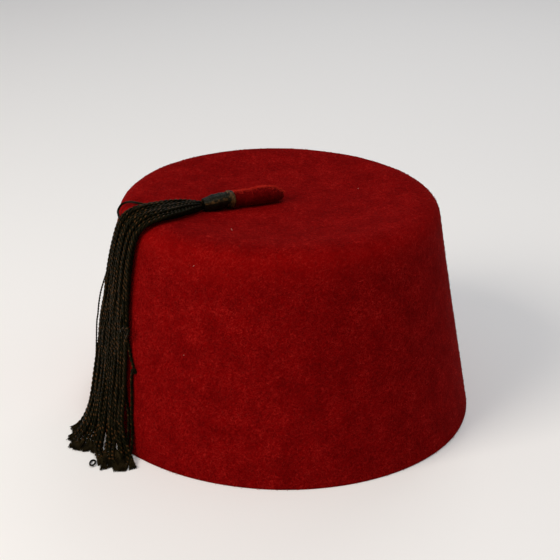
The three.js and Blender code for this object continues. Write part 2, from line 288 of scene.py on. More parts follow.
# %% [markdown]
# ## Materials
# Each finish starts from what the real thing is made of. Colours are written as they look on a screen and
# turned to linear light once, and one small function adds a node with its settings and links.

# %% Colour and node helpers
def linear(code):
    """An sRGB hex colour as linear red, green, blue and alpha: the standard curve, channel by channel."""
    parts = [int(code[i : i + 2], 16) / 255 for i in (1, 3, 5)]
    return tuple(c / 12.92 if c <= 0.04045 else ((c + 0.055) / 1.055) ** 2.4 for c in parts) + (1.0,)


def add(tree, kind, links=None, values=None, **settings):
    """A node of one kind with its settings, fixed input values and links from other nodes' outputs."""
    made = tree.nodes.new(kind)
    for name, value in settings.items():
        setattr(made, name, value)
    for name, value in (values or {}).items():
        made.inputs[name].default_value = value
    for name, source in (links or {}).items():
        tree.links.new(source, made.inputs[name])
    return made


def reckon(tree, operation, *terms):
    """One step of arithmetic on outputs of nodes or numbers."""
    made = tree.nodes.new("ShaderNodeMath")
    made.operation = operation
    for place, term in enumerate(terms):
        if isinstance(term, bpy.types.NodeSocket):
            tree.links.new(term, made.inputs[place])
        else:
            made.inputs[place].default_value = term
    return made.outputs[0]


def between(tree, value, low, high):
    """0 where a value is at most low, 1 where it is at least high, and straight in between. With low
    above high it falls instead."""
    made = add(tree, "ShaderNodeMapRange", {"Value": value}, {"From Min": low, "From Max": high})
    return made.outputs["Result"]


def noise(tree, place, size_mm, **values):
    """Soft random values from 0 to 1 at a place, with features about so many millimetres apart."""
    values = {"Scale": 1 / (size_mm * MM), **{key.capitalize(): value for key, value in values.items()}}
    return add(tree, "ShaderNodeTexNoise", {"Vector": place}, values).outputs["Fac"]


def blended(tree, share, first, second):
    """A colour between two, each a hex code or a node's colour."""
    made = add(tree, "ShaderNodeMix", {"Factor": share}, data_type="RGBA")
    for socket, colour in ((made.inputs[6], first), (made.inputs[7], second)):
        if isinstance(colour, str):
            socket.default_value = linear(colour)
        else:
            tree.links.new(colour, socket)
    return made.outputs[2]


def bumped(tree, height, depth_mm, strength, under=None):
    """Normals for a relief of a depth in millimetres, on top of another relief."""
    links = {"Height": height} if under is None else {"Height": height, "Normal": under}
    values = {"Strength": strength, "Distance": depth_mm * MM}
    return add(tree, "ShaderNodeBump", links, values).outputs["Normal"]


def finish_of(name):
    """An empty node material and its tree."""
    material = bpy.data.materials.new(name)
    material.use_nodes = True
    material.node_tree.nodes.clear()
    return material, material.node_tree


def surface(tree, values, links):
    """The shader and the output."""
    shader = add(tree, "ShaderNodeBsdfPrincipled", links, values)
    add(tree, "ShaderNodeOutputMaterial", {"Surface": shader.outputs["BSDF"]})


# %% [markdown]
# ### Wool felt
# The felt is matte: it has almost no gloss, and its short nap gives a faint sheen of its own colour at
# grazing angles. Clumps of fibre a little over 1 mm across are lighter or darker than the rest, clouds of
# some 11 mm show where the nap has been rubbed, and single fibres lie over both as thin curved lines. A
# line is where a distorted noise passes through its middle value, so it winds about as a fibre does.
# The edge of the top is painted a little lighter: a painted highlight where its crest catches the light.

# %% Felt finish
FELT_SHADES = ("#5a0001", "#710102", "#a21c18")
# The stem's felt is painted darker than the cap's: a painted shade for its front.
SHADED_STEM_SHADES = ("#420001", "#5a0304", "#80120e")
NAP_SHADES = ("#840806", "#ac1c18", "#c43832")
# The stem's fuzz is painted lighter than the nap: a painted rim highlight.
RIM_HIGHLIGHT_FUZZ_SHADES = ("#a01810", "#c82c20", "#e0483c")
CLUMP_SIZE = 1.3
CLOUD_SIZE = 11.0
FIBRE_SIZES = (2.2, 1.3)
FIBRE_WIDTH = 0.034
GRAIN_SIZE = 0.45
# Between which values clumps and clouds count, and the clouds' share in the ground.
CLUMP_RANGE = (0.34, 0.66)
CLOUD_RANGE = (0.3, 0.7)
CLOUD_SHARE = 0.2
# How strongly fibres show, at least and by a cloud, and how far they stand out of the clumps.
FIBRE_SHOWS = (0.25, 0.55)
FIBRE_RAISED = 0.3
SHEEN_TINT = "#d82a20"
# The painted highlight on the top's edge: its colour, its share at most, and the distances from the cap's
# axis between which it comes in and goes out.
EDGE_HIGHLIGHT_SHADE = "#8a0403"
EDGE_HIGHLIGHT_SHARE = 0.3
EDGE_HIGHLIGHT_BAND = ((70.0, 75.0), (78.6, 77.0))


def painted_edge_highlight(tree, place):
    """The share of painted highlight on the cap's edge, by the distance from the cap's axis: the root of
    the sum of two squares."""
    apart = add(tree, "ShaderNodeSeparateXYZ", {"Vector": place}).outputs
    along, across = (reckon(tree, "SUBTRACT", apart[i], float(AXIS[i])) for i in (0, 1))
    across_square = reckon(tree, "MULTIPLY", across, across)
    far = reckon(tree, "SQRT", reckon(tree, "MULTIPLY_ADD", along, along, across_square))
    rising, falling = (between(tree, far, low * MM, high * MM) for low, high in EDGE_HIGHLIGHT_BAND)
    return reckon(tree, "MULTIPLY", reckon(tree, "MULTIPLY", rising, falling), EDGE_HIGHLIGHT_SHARE)


def wool_felt(name, shades, depth, sheen, painted_highlight=False):
    """Felt of three shades: dark clumps, light clumps and single fibres, with a relief in millimetres, and,
    when asked, a painted highlight on the top's edge.
    """
    material, tree = finish_of(name)
    place = add(tree, "ShaderNodeTexCoord").outputs["Object"]
    clumps = noise(tree, place, CLUMP_SIZE, detail=3.0, roughness=0.65)
    clouds = between(tree, noise(tree, place, CLOUD_SIZE, detail=3.0, roughness=0.6), *CLOUD_RANGE)
    grain = noise(tree, place, GRAIN_SIZE, detail=2.0, roughness=0.7)
    fibres = None
    for size in FIBRE_SIZES:
        wind = noise(tree, place, size, detail=1.0, distortion=1.2)
        off_middle = reckon(tree, "ABSOLUTE", reckon(tree, "SUBTRACT", wind, 0.5))
        line = between(tree, off_middle, FIBRE_WIDTH, 0.0)
        fibres = line if fibres is None else reckon(tree, "MAXIMUM", fibres, line)
    clouded = reckon(tree, "MULTIPLY", clouds, CLOUD_SHARE)
    light = reckon(tree, "MULTIPLY_ADD", clumps, 1 - CLOUD_SHARE, clouded)
    haze = reckon(tree, "MULTIPLY_ADD", clouds, FIBRE_SHOWS[1], FIBRE_SHOWS[0])
    ground = blended(tree, between(tree, light, *CLUMP_RANGE), shades[0], shades[1])
    # Painted highlight: the top's edge is painted lighter where its crest catches the light.
    if painted_highlight:
        ground = blended(tree, painted_edge_highlight(tree, place), ground, EDGE_HIGHLIGHT_SHADE)
    colour = blended(tree, reckon(tree, "MULTIPLY", fibres, haze), ground, shades[2])
    raised = reckon(tree, "MULTIPLY_ADD", fibres, FIBRE_RAISED, clumps)
    coarse = bumped(tree, raised, depth, 0.55)
    fine = bumped(tree, grain, 0.3 * depth, 0.5, coarse)
    surface(
        tree,
        {
            "Roughness": 0.95, "IOR": 1.45, "Specular IOR Level": 0.02, "Sheen Weight": sheen,
            "Sheen Roughness": 0.35, "Sheen Tint": linear(SHEEN_TINT),
        },
        {"Base Color": colour, "Normal": fine},
    )
    return material


felt_finish = wool_felt("blocked_wool_felt", FELT_SHADES, 0.35, 0.06, painted_highlight=True)
# A darker copy of the cap's felt: painted shade on the stem.
shaded_stem_finish = wool_felt("rolled_wool_felt_painted_shade", SHADED_STEM_SHADES, 0.45, 0.25)
nap_finish = wool_felt("loose_wool_fibre", NAP_SHADES, 0.2, 0.1)
# Lighter fibres for the stem's top and back: a painted rim highlight.
rim_highlight_fuzz_finish = wool_felt("raised_wool_fuzz_painted_rim_highlight", RIM_HIGHLIGHT_FUZZ_SHADES, 0.2, 0.3)
lint_finish = wool_felt("pale_cotton_lint", ("#a89488", "#c4b4a6", "#d8ccc0"), 0.1, 0.1)

# %% [markdown]
# ### Rayon cord
# The cords are twisted from fine black rayon threads, so their shine is soft, warm in tone and broken up
# by the threads. Where each ply comes to the outside, brown is painted on its crest in patches: a painted
# glint where the crest catches the light.
# Both follow the piece's own UV map: its first value goes once round a ply, starting a quarter turn
# before the outermost side, and its second counts the turns of the twist.

# %% Rayon finishes
# Between which values the painted glint grows: along the twist, round the ply and in patches.
GLINT_CREST = (0.78, 0.99)
GLINT_OUTSIDE = (0.1, 0.8)
GLINT_PATCHES = (0.42, 0.66)
GLINT_PATCH_SIZE = 2.5
SHADE_SIZE = 4.0
SHADE_RANGE = (0.35, 0.65)
THREAD_LEAN = 3.0
THREAD_RELIEF = 0.03


def rayon(name, shades, painted_glint, gloss, glint, roughness, threads):
    """Rayon of two shades with a number of threads round a ply, and a painted glint of another colour on
    its crests.
    """
    material, tree = finish_of(name)
    uv = add(tree, "ShaderNodeUVMap", uv_map="UVMap").outputs["UV"]
    parts = add(tree, "ShaderNodeSeparateXYZ", {"Vector": uv}).outputs
    place = add(tree, "ShaderNodeTexCoord").outputs["Object"]
    lean = reckon(tree, "MULTIPLY", parts["Y"], THREAD_LEAN)
    count = reckon(tree, "MULTIPLY_ADD", parts["X"], threads, lean)
    ridges = reckon(tree, "SINE", reckon(tree, "MULTIPLY", count, TURN))
    crest = between(tree, reckon(tree, "SINE", reckon(tree, "MULTIPLY", parts["Y"], TURN)), *GLINT_CREST)
    quarter = reckon(tree, "SUBTRACT", parts["X"], 0.25)
    facing = reckon(tree, "COSINE", reckon(tree, "MULTIPLY", quarter, TURN))
    outside = between(tree, facing, *GLINT_OUTSIDE)
    painted_highlight = between(tree, noise(tree, place, GLINT_PATCH_SIZE, detail=2.0), *GLINT_PATCHES)
    # Painted glint: brown on the outermost side of each ply's crest, in patches.
    painted_glints = reckon(tree, "MULTIPLY", reckon(tree, "MULTIPLY", crest, outside), painted_highlight)
    shade = between(tree, noise(tree, place, SHADE_SIZE, detail=2.0), *SHADE_RANGE)
    black = blended(tree, shade, shades[0], shades[1])
    colour = blended(tree, painted_glints, black, painted_glint)
    surface(
        tree,
        {"Roughness": roughness, "IOR": 1.5, "Specular IOR Level": gloss, "Specular Tint": linear(glint)},
        {"Base Color": colour, "Normal": bumped(tree, ridges, THREAD_RELIEF, 0.5)},
    )
    return material


# The third colour of each finish is the painted glint on its crests.
cord_finish = rayon("twisted_black_rayon", ("#070903", "#131208"), "#4e321a", 0.07, "#b08a50", 0.4, 5.0)
winding_finish = rayon("wound_black_rayon", ("#090b07", "#1e190f"), "#6a4826", 0.2, "#c8c4a8", 0.26, 3.0)
tuft_finish = rayon("frayed_black_rayon", ("#100e07", "#2c2414"), "#54351a", 0.1, "#b08a50", 0.5, 3.0)

# %% [markdown]
# ## The cap
# The wall is one closed surface: outside from the middle of the top down to the rim, round the cut edge,
# and back up inside, one felt thickness deeper. A Solidify modifier would do the same on the outer sheet
# alone, but a section that goes all the way round keeps the cut edge under control. The rows are 1 to
# 1.5 mm apart, so that lumps of 3 mm and more are real shape and only finer ones are bump.

# %% Cap surface
CAP_COLUMNS = 360
SIDE_ROWS = 88
EDGE_ROWS = 15
TOP_ROWS = 44
TOP_START = 2.985
CUT_ROWS = 7
RELIEF = ((22.0, 0.16), (7.0, 0.07), (3.2, 0.05))


def relief(points):
    """Low lumps of the felt: random fields of three sizes, each with its own height."""
    return sum(height * lumps(points, size, seed) for seed, (size, height) in enumerate(RELIEF, 11))


def wall(places, depth, degrees):
    """Rows of points at places of the half section, a depth under the outer surface."""
    rows = on_cap(places[:, None], degrees[None, :], -depth)
    out, up = section_out(places)
    normals = turned(out[:, None], up[:, None], degrees[None, :])
    return rows + normals * relief(rows)[..., None]


def cut_edge(degrees):
    """The rim's cut edge: a flattened half round from the outer to the inner surface."""
    angle = np.linspace(0, np.pi, CUT_ROWS)[:, None]
    half = FELT / 2
    across = half * np.sign(np.cos(angle)) * np.abs(np.cos(angle)) ** 0.5
    height = half * (1 - np.sqrt(np.sin(angle)))
    radius = RIM_RADIUS - half + across - slope * height
    return turned(radius - pushed_in(height, degrees[None, :]), height, degrees[None, :])


def cap():
    """The whole wall: rows over the outside, round the cut edge and, half as many, up the inside."""
    degrees = np.linspace(0, 360, CAP_COLUMNS, endpoint=False)
    side = np.linspace(1, FELT / 2 / side_height, SIDE_ROWS, endpoint=False)
    edge = np.linspace(2, 1, EDGE_ROWS, endpoint=False)
    top = np.linspace(TOP_START, 2, TOP_ROWS, endpoint=False)
    outer = wall(np.concatenate([top, edge, side]), 0.0, degrees)
    inner = wall(np.concatenate([side[::-2], edge[::-2], top[::-2]]), FELT, degrees)
    rows = np.concatenate([outer, cut_edge(degrees), inner])[::-1]
    rows[..., 2] = np.maximum(rows[..., 2], 0.0)
    put("cap_felt", closed(rows), felt_finish, ["crown"])


cap()

# %% [markdown]
# ## The nap
# Loose fibres lie on blocked felt and catch the light one by one. A hair system would make them, but its
# strands aren't mesh. Here some eight thousand are thin three-sided tubes in one piece, bent at random
# along the surface, some with a free end. Real wool is 0.03 mm thick, which no picture at this size
# shows, so these are drawn coarser.

# %% Tubes along lines
def unit(vectors):
    """The same directions with length one."""
    return vectors / np.linalg.norm(vectors, axis=-1, keepdims=True)


def tubes(paths, radius, ref, sides, turns=0.0):
    """Closed tubes along many lines at once: points, faces and a UV for each corner of the sides.

    A ring is a circle across the line, begun a quarter turn before the direction ref, and a fan closes
    each end. The UV's first value goes from 0 to 1 round the ring, and its second is the given number of
    turns at each point.
    """
    count, steps = paths.shape[:2]
    ahead = unit(np.gradient(paths, axis=1))
    side = unit(np.cross(np.broadcast_to(ref, paths.shape), ahead))
    over = np.cross(ahead, side)
    angle = TURN * np.arange(sides) / sides
    circle = np.cos(angle)[:, None] * side[:, :, None] + np.sin(angle)[:, None] * over[:, :, None]
    width = np.broadcast_to(radius, (count, steps))[..., None, None]
    rings = (paths[:, :, None] + width * circle).reshape(count, -1, 3)
    points = np.concatenate([rings, paths[:, :1], paths[:, -1:]], 1)
    ring_points = steps * sides
    first = (np.arange(count) * (ring_points + 2))[:, None, None]
    quads = first + grid_faces(steps, sides)
    fans = first + end_fans(ring_points, sides)
    around = np.broadcast_to(np.arange(sides + 1) / sides, (count, steps, sides + 1))
    turns = np.broadcast_to(turns, (count, steps))[..., None]
    uv = np.stack([around, np.broadcast_to(turns, around.shape)], -1)
    corners = np.stack([uv[:, :-1, :-1], uv[:, :-1, 1:], uv[:, 1:, 1:], uv[:, 1:, :-1]], 3)
    return points.reshape(-1, 3), [quads.reshape(-1, 4), fans.reshape(-1, 3)], corners.reshape(-1, 2)


def together(parts):
    """Several results of tubes as one: all sides first, then all fans."""
    points, faces, uvs = zip(*parts)
    starts = np.cumsum([0] + [len(some) for some in points])
    joined = [np.concatenate([pair[kind] + start for pair, start in zip(faces, starts)]) for kind in (0, 1)]
    return np.concatenate(points), joined, np.concatenate(uvs)


# %% Nap of the cap
NAP_STRANDS = 8200
NAP_RADIUS = 0.055
NAP_LENGTH = (0.7, 2.2)
NAP_RISE = 0.16
NAP_STEPS = 4
NAP_FREE = 0.25
NAP_END = 2.95
CURL = 0.35
# An arch's feet lie this share of its rise under the surface, and rises differ by these factors.
FEET = 0.15
RISES = (0.3, 1.5)
FREE_RISE = 1.6


def strands_on(points, normals, rng, length, rise, free_share, steps=NAP_STEPS):
    """Bent lines on a surface: along a random direction in it, curling aside with the square of the
    length, and either rising and falling like an arch or leaning out to a free end."""
    count = len(points)
    any_way = rng.normal(size=(count, 3))
    along = unit(np.cross(normals, any_way))
    aside = np.cross(normals, along)
    part = np.linspace(0, 1, steps)[None, :, None]
    reach = rng.uniform(*length, (count, 1, 1))
    curl = rng.normal(0, CURL, (count, 1, 1))
    arch = 4 * part * (1 - part) - FEET
    free = rng.random((count, 1, 1)) < free_share
    lift = rise * rng.uniform(*RISES, (count, 1, 1)) * np.where(free, FREE_RISE * part, arch)
    way = part * along[:, None] + curl * part**2 * aside[:, None]
    return points[:, None] + reach * way + lift * normals[:, None]


def cap_nap():
    """Fibres all over the outside, as many on each part as its area asks for."""
    rng = np.random.default_rng(21)
    fine = np.linspace(0, NAP_END, 400)
    radius, height = section(fine)
    chance = np.cumsum(radius * np.hypot(np.gradient(radius), np.gradient(height)))
    place = np.interp(rng.random(NAP_STRANDS) * chance[-1], chance, fine)
    degrees = rng.uniform(0, 360, NAP_STRANDS)
    normals = turned(*section_out(place), degrees)
    roots = on_cap(place, degrees)
    roots = roots + normals * relief(roots)[:, None]
    lines = strands_on(roots, normals, rng, NAP_LENGTH, NAP_RISE, NAP_FREE)
    lines[..., 2] = np.maximum(lines[..., 2], NAP_RADIUS)
    put("cap_nap", tubes(lines, NAP_RADIUS, normals[:, None], 3), nap_finish)


cap_nap()

# %% [markdown]
# A few pale specks of lint cling to the nap, as on any felt that has been handled. They are the same kind
# of bent strand, at places of their own.

# %% Lint
# The place, the angle and the length of each.
LINT = np.array([
    (2.246, 40.0, 0.8), (0.986, 36.6, 0.5), (0.573, 35.2, 0.4), (2.389, 175.1, 1.0), (1.3, 250.0, 0.8),
])
LINT_RADIUS = 0.07
LINT_ABOVE = 0.35
LINT_RISE = 0.3


def lint():
    """One bent strand for each row of the table, a little above the felt."""
    rng = np.random.default_rng(25)
    place, degrees, reach = LINT.T
    normals = turned(*section_out(place), degrees)
    roots = on_cap(place, degrees, LINT_ABOVE)
    lines = np.concatenate([
        strands_on(root[None], normal[None], rng, (length, length), LINT_RISE, 0.5, 7)
        for root, normal, length in zip(roots, normals, reach)
    ])
    put("cap_lint", tubes(lines, LINT_RADIUS, normals[:, None], 5), lint_finish)


lint()

# %% [markdown]
# ## The stem
# The stem is a strip of felt rolled tight and felted on, so it is a stubby finger, thickest in its
# middle, with a round root. A short table of widths and heights along its line shapes it, as it does in
# the construction, and the felt's lumps and nap go on top. Its felt is painted darker than the cap's, a
# painted shade for its front, and its nap is lighter along the top and back, a painted rim highlight.

# %% The line through stem and binding
STEM_DIAMETER = 8.0
STEM_LENGTH = 33.5
STEM_START = 2.0
STEM_ASIDE = 0.4
STEM_END_DIAMETER = 5.4
STEM_IN_BINDING = 7.0
BINDING_LENGTH = 15.5
WINDING = 0.9
WINDING_AT_MOUTH = 0.45
LIP_LENGTH = 4.0
LIP_RISE = 0.5
NECK_DIAMETER = 4.6
SEAT = 0.1

binding_start = STEM_LENGTH - STEM_IN_BINDING
binding_end = binding_start + BINDING_LENGTH
winding_radius = STEM_END_DIAMETER / 2 + GAP + WINDING
mouth_radius = NECK_DIAMETER / 2 + GAP + WINDING_AT_MOUTH

# along: share of the length outside the binding; wide and high: shares of the stem's diameter.
STEM_ALONG = (0, 0.1, 0.2, 0.34, 0.5, 0.68, 0.84, 0.96, 1.1)
STEM_WIDE = (0.8, 0.9, 1.0, 1.05, 1.03, 1.0, 0.98, 0.95, 0.75)
STEM_HIGH = (0.7, 0.8, 0.95, 1.05, 1.06, 0.99, 0.93, 0.88, 0.7)
ROOT_ROUND = 0.24


def centre_line(along):
    """The middle of stem, binding and tassel head at a distance from the stem's root: level with the
    sagging top under it, as high as the thickest part there needs."""
    along = np.asarray(along, float)
    share = along / binding_start
    half = np.interp(share, STEM_ALONG, STEM_HIGH) * STEM_DIAMETER / 2
    half = half + (winding_radius + LIP_RISE - half) * eased(2 * share - 1)
    beyond_lip = along - binding_start - LIP_LENGTH
    half = half + (mouth_radius - half) * eased(beyond_lip / (BINDING_LENGTH - LIP_LENGTH))
    x = STEM_START - along
    reach = np.clip(np.hypot(x, STEM_ASIDE) / crest_radius, 0, 1)
    level = section(3 - reach)[1] + SEAT + half
    return np.stack([x, np.full_like(x, -STEM_ASIDE), level], -1)


# %% Stem surface and nap
STEM_COLUMNS = 64
STEM_ROWS = 90
STEM_STRANDS = 2200
STEM_LUMPS = ((5.0, 0.22), (2.2, 0.1))
# The rows lie closer together near the root, by this power, and the last lies inside the binding.
ROW_POWER = 1.4
LAST_ROW = 1.06
# The lighter fuzz stands along the top and back, a painted rim highlight: the middle and the spread of its
# places, as shares of the way round.
RIM_HIGHLIGHT_AT = (0.33, 0.06)
FUZZ_LENGTH = (0.5, 1.6)
FUZZ_RISE = 0.32
ACROSS = np.array([0, -1.0, 0])


def stem():
    """A finger: ovals along the centre line, whose sizes follow the table and close at the root as a
    quarter of a circle does."""
    share = np.linspace(0.004, 1, STEM_ROWS) ** ROW_POWER * LAST_ROW
    closing = np.sqrt(1 - (1 - np.minimum(share / ROOT_ROUND, 1)) ** 2)
    wide = np.interp(share, STEM_ALONG, STEM_WIDE) * closing * STEM_DIAMETER / 2
    high = np.interp(share, STEM_ALONG, STEM_HIGH) * closing * STEM_DIAMETER / 2
    angle = np.linspace(0, TURN, STEM_COLUMNS, endpoint=False)
    middle = centre_line(share * binding_start)[:, None]
    ring = np.cos(angle)[:, None] * ACROSS * wide[:, None, None]
    ring = ring + np.sin(angle)[:, None] * UP * high[:, None, None]
    normals = unit(ring + 1e-6)
    rows = middle + ring
    lift = sum(height * lumps(rows, size, 31) for size, height in STEM_LUMPS)
    rows = rows + normals * (lift * closing[:, None])[..., None]
    put("stem_felt", closed(rows), shaded_stem_finish, ["stem"])
    # Lighter fuzz along the top and back of the stem: a painted rim highlight.
    rng = np.random.default_rng(32)
    row = rng.integers(3, STEM_ROWS - 4, STEM_STRANDS)
    around, spread = np.array(RIM_HIGHLIGHT_AT) * STEM_COLUMNS
    column = rng.normal(around, spread, STEM_STRANDS).astype(int) % STEM_COLUMNS
    out = normals[row, column]
    lines = strands_on(rows[row, column], out, rng, FUZZ_LENGTH, FUZZ_RISE, 0.5)
    put("stem_nap_painted_rim_highlight", tubes(lines, NAP_RADIUS, out[:, None], 3), rim_highlight_fuzz_finish)


stem()

# %% [markdown]
# ## The binding
# Black rayon thread is wound tight round the stem's end and the cords' heads, with a rolled lip where it
# begins. A screw or array modifier could wind one, but the lip and the taper ask for a radius that
# changes along it, so the thread is one long helix over a sleeve of the same form.

# %% Sleeve and wound thread
THREAD = 0.42
THREAD_STEPS = 30
# Turns lie a little closer than the thread is thick, and it sinks into the sleeve by a share of itself.
TURN_APART = 0.97
SUNK = 0.35
# The share of the length that is wound, and how far the thread wanders out and along.
WOUND = (0.012, 0.985)
WANDER_OUT = 0.06
WANDER_ALONG = 0.07
BINDING_ROWS = 70
BINDING_COLUMNS = 48
# How thick the binding is along its length, as a share of its thickest: a rolled collar, a waist
# behind it, and a body that thins towards the cords.
BINDING_ALONG = (0, 0.03, 0.09, 0.17, 0.23, 0.27, 0.34, 0.48, 0.64, 0.78, 0.9, 1)
BINDING_THICK = (0.74, 0.92, 1.0, 1.0, 0.92, 0.81, 0.9, 0.96, 0.93, 0.86, 0.77, 0.68)
BINDING_LUMPS = ((5.0, 0.3), (2.2, 0.26))
# The lumps are read at this distance from the centre line, so they change round it too.
LUMPS_AWAY = 4
# The collar is painted with the glint all round, a painted highlight on the lip. The body is painted with
# it in bands along it, painted reflections of the floor, the first at this share of a turn up from the
# level at the side.
COLLAR = 0.24
GLINT_BANDS = 3
GLINT_TURN = 0.075


def binding_radius(share):
    """Outer radius along the binding, from its table of thicknesses."""
    return np.interp(share, BINDING_ALONG, BINDING_THICK) * (winding_radius + LIP_RISE)


def round_line(along, angle, radius):
    """Points round the centre line at a distance, pushed in and out by the winding's own lumps."""
    middle = centre_line(along)
    away = np.cos(angle)[..., None] * ACROSS + np.sin(angle)[..., None] * UP
    if angle.ndim > middle.ndim - 1:
        middle, radius = middle[:, None], radius[:, None]
    bulge = sum(height * lumps(middle + LUMPS_AWAY * away, size, 43) for size, height in BINDING_LUMPS)
    return middle + (radius + bulge)[..., None] * away, away


def binding():
    """A closed sleeve, and over it one thread whose angle grows evenly along the length."""
    rng = np.random.default_rng(41)
    share = np.linspace(0, 1, BINDING_ROWS)
    along = binding_start + share * BINDING_LENGTH
    angle = np.linspace(0, TURN, BINDING_COLUMNS, endpoint=False)
    angle = np.broadcast_to(angle, (BINDING_ROWS, BINDING_COLUMNS))
    outer = round_line(along, angle, binding_radius(share) - THREAD / 2)[0]
    inner_radius = np.minimum(binding_radius(share) - 2 * THREAD, STEM_END_DIAMETER / 2 + 0.1)
    inner = round_line(along, angle, inner_radius)[0]
    rows = np.concatenate([outer, inner[::-1], outer[:1]])
    sleeve = rows[:-1].reshape(-1, 3)
    sleeve_faces = grid_faces(len(rows), BINDING_COLUMNS) % len(sleeve)
    turns = int(BINDING_LENGTH / (TURN_APART * THREAD))
    wound = np.linspace(*WOUND, turns * THREAD_STEPS)
    wander = np.interp(wound, np.linspace(0, 1, turns * 2), rng.normal(0, WANDER_OUT, turns * 2))
    radius = binding_radius(wound) - SUNK * THREAD + wander
    path, away = round_line(binding_start + wound * BINDING_LENGTH, TURN * turns * wound, radius)
    path[:, 0] += np.interp(wound, np.linspace(0, 1, turns), rng.normal(0, WANDER_ALONG, turns))
    # Painted glint on the winding: all round on the collar, and on the body in bands of painted reflection.
    glint_turns = 0.25 + np.where(wound < COLLAR, 0, GLINT_BANDS * (turns * wound - GLINT_TURN))
    points, (quads, fans), uv = tubes(path[None], THREAD / 2, away[None], 6, glint_turns)
    faces = [np.concatenate([quads, sleeve_faces + len(points)]), fans]
    points = np.concatenate([points, sleeve])
    put("binding_winding", (points, faces, uv), winding_finish, ["binding"])


binding()

# %% [markdown]
# ## The tassel's cords
# The cords leave the binding as one tight bunch, open into a fan over the edge, hang down the side and
# run out on the table. Each is laid first along the way that the construction's locks take, two or three
# cords to a lock. Then they are let settle: a cord keeps its length, is kept out of its neighbours, the
# cap and the table, and otherwise stays near its way. Blender's cloth and curve tools could do this too,
# but 28 lines of 120 points settle in a few seconds as arrays.

# %% The tassel's way
TASSEL_THICKNESS = 4.4
LOCK_WIDTH = 3.8
LOCK_THICKNESS = 2.5
THIRD_CORD_BACK = 0.6
NECK_LOCK = 0.46
NECK_CORNER = 0.6
ROOT_IN_BINDING = 2.5
NECK_LENGTH = 0.8
TIPS_BEYOND_RIM = 14.5

# place on the half section, lift (share of a lock's thickness), deep (share of the tassel's), turn and
# spread in degrees, size (share of a full lock).
WAY_ON_CAP = np.array([
    (2.3, 0.35, 1.2, 2.6, 3.8, 0.74),
    (2.19, 0.35, 1.2, 4.4, 6.0, 0.86),
    (2.06, 0.3, 1.12, 5.4, 7.6, 0.94),
    (1.75, 0.3, 1.05, 4.6, 8.0, 0.97),
    (1.32, 0.3, 1.0, 3.0, 8.0, 0.98),
    (0.93, 0.35, 0.9, 1.6, 7.8, 1.0),
    (0.8, 0.4, 0.85, 0.7, 8.8, 1.0),
    (0.62, 0.35, 0.8, 0.8, 10.0, 1.0),
    (0.45, 0.3, 0.76, 1.3, 11.3, 1.0),
    (0.28, 0.5, 0.7, 3.4, 11.0, 1.0),
    (0.13, 1.3, 0.64, 6.0, 10.6, 1.0),
])
# The same columns, but the first is the share of the way from the rim to the tips.
WAY_ON_TABLE = np.array([
    (0.47, 1.1, 0.6, 8.6, 11.2, 1.0),
    (0.77, 0.1, 0.58, 10.4, 11.8, 1.06),
    (1.0, 0.0, 0.58, 12.2, 12.2, 1.16),
])
# One row for each lock: lane across the fan, layer from lowest to highest, reach beyond the others,
# stray aside at the tip, and its cords. Most locks hold a third cord under their two.
LOCKS = np.array([
    (-1.0, 0.1, -0.3, 0.0, 2),
    (-0.78, 0.9, 0.6, 0.06, 3),
    (-0.56, 0.15, 1.1, 0.16, 3),
    (-0.34, 0.85, 0.4, 0.12, 3),
    (-0.12, 0.2, -0.4, 0.02, 3),
    (0.12, 1.0, 0.35, 0.42, 3),
    (0.34, 0.0, -0.8, 0.24, 3),
    (0.55, 0.85, -0.3, 0.2, 3),
    (0.75, 0.2, -1.2, 0.0, 3),
    (0.92, 0.6, -1.8, 0.0, 2),
])
SPREAD_ON_TABLE = 1.4
CORD = 1.8
CORD_POINTS = 120


def spline(stops, samples):
    """A smooth line through its stops: between two of them a cubic whose slope at each is half the way
    between its neighbours, which is a Catmull-Rom curve."""
    stops = np.asarray(stops, float)
    before = 2 * stops[..., :1, :] - stops[..., 1:2, :]
    after = 2 * stops[..., -1:, :] - stops[..., -2:-1, :]
    held = np.concatenate([before, stops, after], -2)
    at = np.linspace(0, stops.shape[-2] - 1, samples)
    low = np.minimum(at.astype(int), stops.shape[-2] - 2)
    part = (at - low)[:, None]
    a, b, c, d = (held[..., low + i, :] for i in range(4))
    cubic = (2 * a - 5 * b + 4 * c - d) * part**2 + (3 * b - a - 3 * c + d) * part**3
    return (2 * b + (c - a) * part + cubic) / 2


def step_lengths(lines):
    """The lengths of the steps from point to point along lines."""
    return np.linalg.norm(np.diff(lines[..., :3], axis=-2), axis=-1)


def evened(lines, samples, cut=0.0):
    """The same lines with points at equal steps of their length, a stretch cut off their ends."""
    done = []
    for line in lines:
        run = np.concatenate([[0], np.cumsum(step_lengths(line))])
        at = np.linspace(0, run[-1] - cut, samples)
        done.append(np.stack([np.interp(at, run, column) for column in line.T], -1))
    return np.stack(done)


def lane_rows():
    """One row for each cord, from its lock's row: lane, layer, reach, stray and the place in the lock.
    Two cords lie beside the lock's middle, and a third lies in it at the bottom of the stack."""
    rows = []
    for lane, layer, reach, stray, cords in LOCKS:
        rows += [(lane, layer, reach, stray, -1), (lane, layer, reach, stray, 1)]
        if cords == 3:
            rows.append((lane, 0, reach - THIRD_CORD_BACK, stray, 0))
    return np.array(rows).T[:, :, None]


def crosswise(degrees):
    """The level direction along the rim at an angle."""
    return np.stack([np.sin(np.radians(degrees)), -np.cos(np.radians(degrees)), 0 * degrees], -1)


